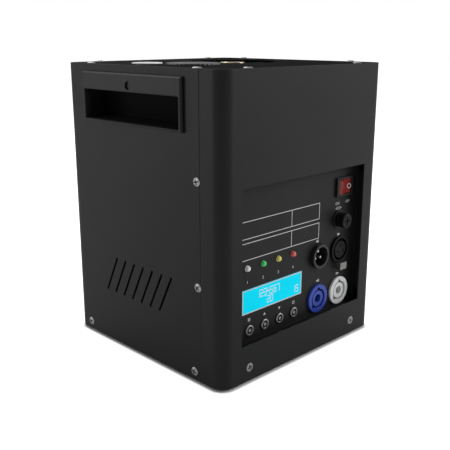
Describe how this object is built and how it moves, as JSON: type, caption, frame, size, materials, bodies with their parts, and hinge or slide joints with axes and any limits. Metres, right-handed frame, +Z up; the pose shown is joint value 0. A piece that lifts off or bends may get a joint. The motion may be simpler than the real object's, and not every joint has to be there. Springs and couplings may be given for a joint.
{
  "type": "cold spark machine",
  "caption": "Square black stage effect machine that throws a fountain of cold sparks from a nozzle in its top, with pocket handles and a recessed control panel.",
  "frame": {"origin": "centre of the footprint, at the underside of the feet", "axes": "+Z up, the control panel faces -Y, the pocket handles face -X and +X"},
  "size_m": [0.199, 0.193, 0.2437],
  "materials": {
    "case_paint": "black powder coat",
    "moulded_black": "fine moulded texture",
    "foot_rubber": "matt rubber",
    "zinc_sheet": "zinc plated",
    "steel": "turned steel",
    "insulation": "pressed ceramic fibre",
    "hopper_plastic": "moulded",
    "cap_metal": "black anodised",
    "window_white": "smooth",
    "boards": "solder resist",
    "motor_metal": "satin",
    "display_glass": "lit",
    "display_frame": "tinned",
    "lamp_white": "clear",
    "lamp_green": "clear",
    "lamp_yellow": "clear",
    "lamp_red": "clear",
    "bright_trim": "satin",
    "rocker_red": "smooth",
    "fuse_glass": "clear",
    "socket_black": "moulded",
    "socket_blue": "moulded",
    "socket_grey": "moulded"
  },
  "bodies": {
    "case": {"front_shell": "case_paint", "rear_shell": "case_paint", "base_tray": "case_paint", "top_plate": "case_paint", "foot_1": "foot_rubber", "foot_2": "foot_rubber", "foot_3": "foot_rubber", "foot_4": "foot_rubber", "left_handle": "moulded_black", "right_handle": "moulded_black", "control_tray": "case_paint", "tray_bracket_left": "zinc_sheet", "tray_bracket_right": "zinc_sheet", "display_window": "display_glass", "display_module": "display_frame", "status_lamp_1": "lamp_white", "status_lamp_2": "lamp_green", "status_lamp_3": "lamp_yellow", "status_lamp_4": "lamp_red", "button_ring_1": "bright_trim", "button_ring_2": "bright_trim", "button_ring_3": "bright_trim", "button_ring_4": "bright_trim", "control_board": "boards", "rocker_housing": "moulded_black", "fuse_holder": "moulded_black", "data_inlet": "socket_black", "data_outlet": "socket_black", "power_inlet": "socket_blue", "power_outlet": "socket_grey", "nozzle_dish": "steel", "nozzle_tube": "steel", "heater_band": "steel", "heat_jacket": "insulation", "hopper": "hopper_plastic", "tag_window": "window_white", "tag_reader_board": "boards", "mid_deck": "zinc_sheet", "feed_tube": "steel", "feed_motor": "motor_metal", "feed_bracket": "zinc_sheet", "blower_housing": "moulded_black", "blower_motor": "motor_metal", "cooling_fan_frame": "moulded_black", "power_supply": "zinc_sheet", "heater_driver_board": "boards", "tilt_switch": "boards"},
    "button_1_body": {"button_1": "bright_trim"},
    "button_2_body": {"button_2": "bright_trim"},
    "button_3_body": {"button_3": "bright_trim"},
    "button_4_body": {"button_4": "bright_trim"},
    "rocker_body": {"power_rocker": "rocker_red"},
    "latch_body": {"release_latch": "bright_trim"},
    "fuse_carrier": {"fuse_link": "fuse_glass"},
    "fuse_knob": {"fuse_cap": "moulded_black"},
    "filler_lift": {"filler_gasket": "foot_rubber"},
    "filler_lid": {"filler_cap": "cap_metal"},
    "blower_wheel": {"blower_impeller": "moulded_black"},
    "fan_wheel": {"cooling_fan_rotor": "moulded_black"},
    "feed_auger": {"feed_screw": "steel"}
  },
  "joints": [
    {"name": "button_1_press", "type": "slide", "parent": "case", "child": "button_1_body", "axis": [0, 1, 0], "range_m": [0, 0.0005], "stiffness_N_per_m": 400, "springref_m": -0.0005},
    {"name": "button_2_press", "type": "slide", "parent": "case", "child": "button_2_body", "axis": [0, 1, 0], "range_m": [0, 0.0005], "stiffness_N_per_m": 400, "springref_m": -0.0005},
    {"name": "button_3_press", "type": "slide", "parent": "case", "child": "button_3_body", "axis": [0, 1, 0], "range_m": [0, 0.0005], "stiffness_N_per_m": 400, "springref_m": -0.0005},
    {"name": "button_4_press", "type": "slide", "parent": "case", "child": "button_4_body", "axis": [0, 1, 0], "range_m": [0, 0.0005], "stiffness_N_per_m": 400, "springref_m": -0.0005},
    {"name": "power_rocker_swing", "type": "hinge", "parent": "case", "child": "rocker_body", "pos_m": [0.0603, -0.0839, 0.1378], "axis": [0, 0, 1], "range_deg": [-20, 0]},
    {"name": "latch_press", "type": "slide", "parent": "case", "child": "latch_body", "axis": [0, 1, 0], "range_m": [0, 0.002], "stiffness_N_per_m": 400, "springref_m": -0.001},
    {"name": "fuse_draw", "type": "slide", "parent": "case", "child": "fuse_carrier", "axis": [0, -1, 0], "range_m": [0, 0.03]},
    {"name": "fuse_cap_turn", "type": "hinge", "parent": "fuse_carrier", "child": "fuse_knob", "pos_m": [0.0548, -0.0862, 0.109], "axis": [0, -1, 0], "range_deg": [-45, 0]},
    {"name": "filler_lift_off", "type": "slide", "parent": "case", "child": "filler_lift", "axis": [0, 0, 1], "range_m": [0, 0.04]},
    {"name": "filler_cap_turn", "type": "hinge", "parent": "filler_lift", "child": "filler_lid", "pos_m": [-0.057, -0.024, 0.242], "axis": [0, 0, 1], "range_deg": [0, 90]},
    {"name": "blower_spin", "type": "hinge", "parent": "case", "child": "blower_wheel", "pos_m": [0.0054, 0.0093, 0.068], "axis": [0, 1, 0], "continuous": true},
    {"name": "cooling_fan_spin", "type": "hinge", "parent": "case", "child": "fan_wheel", "pos_m": [0, 0.082, 0.066], "axis": [0, 1, 0], "continuous": true},
    {"name": "feed_screw_turn", "type": "hinge", "parent": "case", "child": "feed_auger", "pos_m": [-0.03, 0.0093, 0.142], "axis": [1, 0, 0], "continuous": true}
  ]
}
